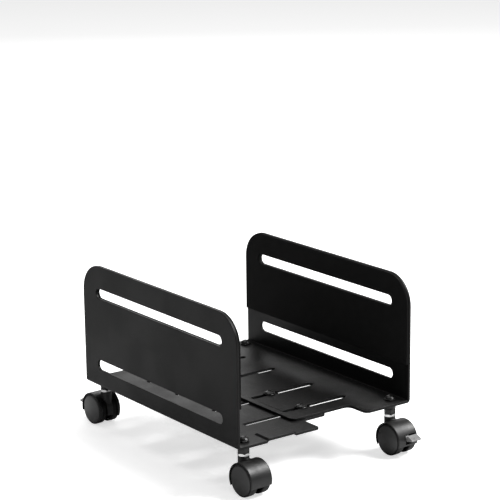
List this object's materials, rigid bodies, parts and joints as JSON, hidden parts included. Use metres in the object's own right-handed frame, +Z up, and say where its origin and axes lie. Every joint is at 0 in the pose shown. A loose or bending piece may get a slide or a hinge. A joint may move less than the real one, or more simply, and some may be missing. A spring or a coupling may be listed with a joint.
{
  "type": "computer tower stand",
  "caption": "Low rolling stand for a computer tower: slotted, foam-lined steel side brackets that slide together to set the width, on braked and plain twin-wheel swivel casters.",
  "frame": {"origin": "on the floor, under the middle of the stand's overall box at the width shown", "axes": "+X from the left bracket to the right one along the width setting, +Y to the rear, +Z up"},
  "size_m": [0.197, 0.2918, 0.1665],
  "materials": {
    "black_steel": "satin black powder coat with a fine texture",
    "black_foam": "closed-cell foam, matt",
    "black_fastener": "black oxide, slight sheen",
    "zinc_steel": "bright zinc plate",
    "hood_plastic": "moulded, soft gloss",
    "wheel_nylon": "moulded, worn satin on the tread",
    "cap_plastic": "moulded, satin",
    "lever_plastic": "moulded grey, fine grain"
  },
  "bodies": {
    "left_side": {"left_bracket": "black_steel", "left_foam_pad": "black_foam", "clamp_screws": "black_fastener", "clamp_washers": "black_fastener", "clamp_nuts": "zinc_steel", "left_spacers": "black_fastener", "left_lock_nuts": "black_fastener", "left_cap_nuts": "black_fastener", "front_left_stem": "zinc_steel", "rear_left_stem": "zinc_steel"},
    "right_side": {"right_bracket": "black_steel", "right_foam_pad": "black_foam", "right_spacers": "black_fastener", "right_lock_nuts": "black_fastener", "right_cap_nuts": "black_fastener", "front_right_stem": "zinc_steel", "rear_right_stem": "zinc_steel"},
    "front_left_caster": {"front_left_hood": "hood_plastic", "front_left_axle": "zinc_steel", "front_left_grip_ring": "zinc_steel"},
    "front_left_outer_wheel_set": {"front_left_outer_wheel": "wheel_nylon", "front_left_outer_cap": "cap_plastic"},
    "front_left_inner_wheel_set": {"front_left_inner_wheel": "wheel_nylon", "front_left_inner_cap": "cap_plastic"},
    "front_right_caster": {"front_right_hood": "hood_plastic", "front_right_axle": "zinc_steel", "front_right_grip_ring": "zinc_steel", "front_right_brake_pin": "zinc_steel"},
    "front_right_outer_wheel_set": {"front_right_outer_wheel": "wheel_nylon", "front_right_outer_cap": "cap_plastic"},
    "front_right_inner_wheel_set": {"front_right_inner_wheel": "wheel_nylon", "front_right_inner_cap": "cap_plastic"},
    "front_right_brake": {"front_right_brake_lever": "lever_plastic"},
    "rear_left_caster": {"rear_left_hood": "hood_plastic", "rear_left_axle": "zinc_steel", "rear_left_grip_ring": "zinc_steel", "rear_left_brake_pin": "zinc_steel"},
    "rear_left_outer_wheel_set": {"rear_left_outer_wheel": "wheel_nylon", "rear_left_outer_cap": "cap_plastic"},
    "rear_left_inner_wheel_set": {"rear_left_inner_wheel": "wheel_nylon", "rear_left_inner_cap": "cap_plastic"},
    "rear_left_brake": {"rear_left_brake_lever": "lever_plastic"},
    "rear_right_caster": {"rear_right_hood": "hood_plastic", "rear_right_axle": "zinc_steel", "rear_right_grip_ring": "zinc_steel"},
    "rear_right_outer_wheel_set": {"rear_right_outer_wheel": "wheel_nylon", "rear_right_outer_cap": "cap_plastic"},
    "rear_right_inner_wheel_set": {"rear_right_inner_wheel": "wheel_nylon", "rear_right_inner_cap": "cap_plastic"}
  },
  "joints": [
    {"name": "width_slide", "type": "slide", "parent": "left_side", "child": "right_side", "axis": [1, 0, 0], "range_m": [-0.046, 0.017]},
    {"name": "front_left_swivel", "type": "hinge", "parent": "left_side", "child": "front_left_caster", "pos_m": [-0.084, -0.1125, 0.0337], "axis": [0, 0, 1], "continuous": true},
    {"name": "front_left_outer_wheel_spin", "type": "hinge", "parent": "front_left_caster", "child": "front_left_outer_wheel_set", "pos_m": [-0.08367, -0.12199, 0.015], "axis": [0.9994, 0.0349, 0], "continuous": true},
    {"name": "front_left_inner_wheel_spin", "type": "hinge", "parent": "front_left_caster", "child": "front_left_inner_wheel_set", "pos_m": [-0.08367, -0.12199, 0.015], "axis": [0.9994, 0.0349, 0], "continuous": true},
    {"name": "front_right_swivel", "type": "hinge", "parent": "right_side", "child": "front_right_caster", "pos_m": [0.084, -0.1125, 0.0337], "axis": [0, 0, 1], "continuous": true},
    {"name": "front_right_outer_wheel_spin", "type": "hinge", "parent": "front_right_caster", "child": "front_right_outer_wheel_set", "pos_m": [0.08433, -0.12199, 0.015], "axis": [0.9994, 0.0349, 0], "continuous": true},
    {"name": "front_right_inner_wheel_spin", "type": "hinge", "parent": "front_right_caster", "child": "front_right_inner_wheel_set", "pos_m": [0.08433, -0.12199, 0.015], "axis": [0.9994, 0.0349, 0], "continuous": true},
    {"name": "front_right_brake_tilt", "type": "hinge", "parent": "front_right_caster", "child": "front_right_brake", "pos_m": [0.08463, -0.13059, 0.0232], "axis": [0.9994, 0.0349, 0], "range_deg": [0, 9]},
    {"name": "rear_left_swivel", "type": "hinge", "parent": "left_side", "child": "rear_left_caster", "pos_m": [-0.084, 0.1125, 0.0337], "axis": [0, 0, 1], "continuous": true},
    {"name": "rear_left_outer_wheel_spin", "type": "hinge", "parent": "rear_left_caster", "child": "rear_left_outer_wheel_set", "pos_m": [-0.08433, 0.12199, 0.015], "axis": [-0.9994, -0.0349, 0], "continuous": true},
    {"name": "rear_left_inner_wheel_spin", "type": "hinge", "parent": "rear_left_caster", "child": "rear_left_inner_wheel_set", "pos_m": [-0.08433, 0.12199, 0.015], "axis": [-0.9994, -0.0349, 0], "continuous": true},
    {"name": "rear_left_brake_tilt", "type": "hinge", "parent": "rear_left_caster", "child": "rear_left_brake", "pos_m": [-0.08463, 0.13059, 0.0232], "axis": [-0.9994, -0.0349, 0], "range_deg": [0, 9]},
    {"name": "rear_right_swivel", "type": "hinge", "parent": "right_side", "child": "rear_right_caster", "pos_m": [0.084, 0.1125, 0.0337], "axis": [0, 0, 1], "continuous": true},
    {"name": "rear_right_outer_wheel_spin", "type": "hinge", "parent": "rear_right_caster", "child": "rear_right_outer_wheel_set", "pos_m": [0.08367, 0.12199, 0.015], "axis": [-0.9994, -0.0349, 0], "continuous": true},
    {"name": "rear_right_inner_wheel_spin", "type": "hinge", "parent": "rear_right_caster", "child": "rear_right_inner_wheel_set", "pos_m": [0.08367, 0.12199, 0.015], "axis": [-0.9994, -0.0349, 0], "continuous": true}
  ]
}
